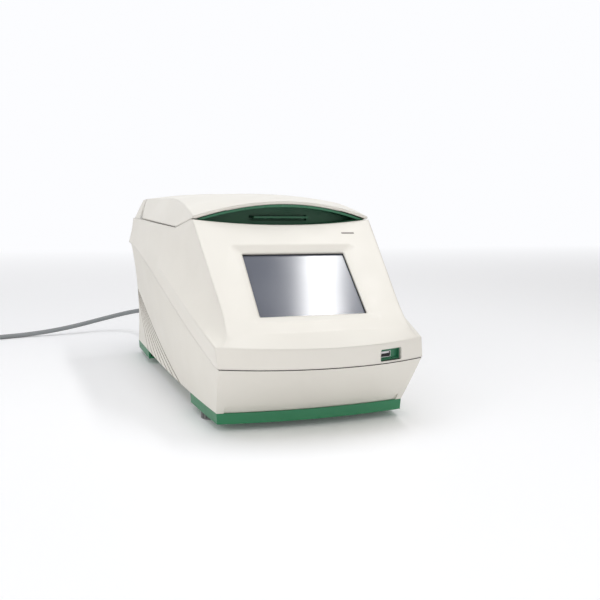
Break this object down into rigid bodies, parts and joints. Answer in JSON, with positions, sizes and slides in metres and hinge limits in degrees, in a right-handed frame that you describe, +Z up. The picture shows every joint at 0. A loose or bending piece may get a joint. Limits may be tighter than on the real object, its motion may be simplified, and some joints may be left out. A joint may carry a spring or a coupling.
{
  "type": "bench-top thermal cycler",
  "caption": "Bench-top thermal cycler for a 96-well plate, with a sloping touch screen, a hinged heated lid with a latch lever in its front handle, fans and a mains lead.",
  "frame": {"origin": "on the bench under the middle of the instrument, centred across its width and along its depth, without its mains lead", "axes": "+X is the viewer's right, -Y the front with the screen, +Z up"},
  "size_m": [0.6115, 0.7027, 0.2321],
  "materials": {
    "lower_shell": "satin moulded, warm light grey",
    "upper_shell": "satin moulded, warm ivory",
    "lid_shell": "satin moulded, warm ivory",
    "tray_green": "semi-gloss green",
    "insert_green": "semi-gloss green",
    "handle_green": "semi-gloss bright green",
    "lever_green": "semi-gloss green",
    "foot_rubber": "ribbed rubber",
    "gasket_rubber": "matt",
    "screen_glass": "glossy touch film over glass",
    "display_metal": "pressed frame",
    "board_green": "solder-masked board",
    "socket_metal": "plated",
    "deck_grey": "satin moulded grey",
    "collar_black": "matt heat-proof",
    "block_metal": "machined",
    "module_white": "ceramic",
    "sink_metal": "finned extrusion",
    "steel": "zinc plated",
    "supply_metal": "folded sheet",
    "duct_black": "moulded",
    "fan_black": "moulded",
    "rear_sheet": "powder coated",
    "inlet_black": "moulded",
    "brass_pin": "nickel plated",
    "liner_grey": "moulded",
    "plate_metal": "anodised",
    "mat_orange": "heater mat",
    "insulation_grey": "foam board",
    "cord_grey": "sheathed lead"
  },
  "bodies": {
    "housing": {"lower_case": "lower_shell", "upper_case": "upper_shell", "base_tray": "tray_green", "feet": "foot_rubber", "screen_gasket": "gasket_rubber", "touch_glass": "screen_glass", "display_panel": "display_metal", "display_board": "board_green", "usb_insert": "insert_green", "usb_socket": "socket_metal", "deck_panel": "deck_grey", "block_collar": "collar_black", "sample_block": "block_metal", "peltier_modules": "module_white", "heat_sink": "sink_metal", "sink_pillars": "steel", "chassis_plate": "steel", "power_supply": "supply_metal", "main_board": "board_green", "driver_board": "board_green", "fan_frame_left": "fan_black", "fan_frame_right": "fan_black", "air_duct": "duct_black", "rear_panel": "rear_sheet", "inlet_module": "inlet_black", "inlet_pins": "brass_pin", "latch_strikes": "steel", "hinge_brackets": "steel", "hinge_pins": "steel", "case_screws": "steel", "panel_screws": "steel", "lead_connector": "inlet_black", "lead_relief": "inlet_black", "mains_lead": "cord_grey", "lead_coil": "cord_grey", "plug_relief": "inlet_black", "mains_plug": "inlet_black"},
    "impeller_left": {"impeller_left": "fan_black"},
    "impeller_right": {"impeller_right": "fan_black"},
    "fuse_drawer": {"fuse_drawer": "inlet_black"},
    "switch": {"power_rocker": "inlet_black"},
    "lid": {"lid_cover": "lid_shell", "lid_hinge_leaves": "steel", "lid_liner": "liner_grey", "guide_posts": "steel", "platen_springs": "steel", "lid_handle": "handle_green"},
    "platen": {"heated_plate": "plate_metal", "heater_mat": "mat_orange", "platen_insulation": "insulation_grey", "platen_frame": "steel"},
    "latch": {"latch_lever": "lever_green", "latch_shaft": "steel", "latch_hooks": "steel"}
  },
  "joints": [
    {"name": "lid_hinge", "type": "hinge", "parent": "housing", "child": "lid", "pos_m": [0, 0.179, 0.217], "axis": [-1, 0, 0], "range_deg": [0, 75]},
    {"name": "latch_turn", "type": "hinge", "parent": "lid", "child": "latch", "pos_m": [0, -0.05, 0.203], "axis": [1, 0, 0], "range_deg": [0, 14]},
    {"name": "platen_float", "type": "slide", "parent": "lid", "child": "platen", "axis": [0, 0, 1], "range_m": [0, 0.004], "stiffness_N_per_m": 6000, "springref_m": -0.003, "deforming": ["platen_springs"]},
    {"name": "fan_spin_left", "type": "hinge", "parent": "housing", "child": "impeller_left", "pos_m": [-0.042, 0.216, 0.11], "axis": [0, 1, 0], "continuous": true},
    {"name": "fan_spin_right", "type": "hinge", "parent": "housing", "child": "impeller_right", "pos_m": [0.042, 0.216, 0.11], "axis": [0, 1, 0], "continuous": true},
    {"name": "switch_rock", "type": "hinge", "parent": "housing", "child": "switch", "pos_m": [-0.031, 0.2297, 0.049], "axis": [-1, 0, 0], "range_deg": [0, 18]},
    {"name": "fuse_slide", "type": "slide", "parent": "housing", "child": "fuse_drawer", "axis": [0, 1, 0], "range_m": [0, 0.018]}
  ]
}
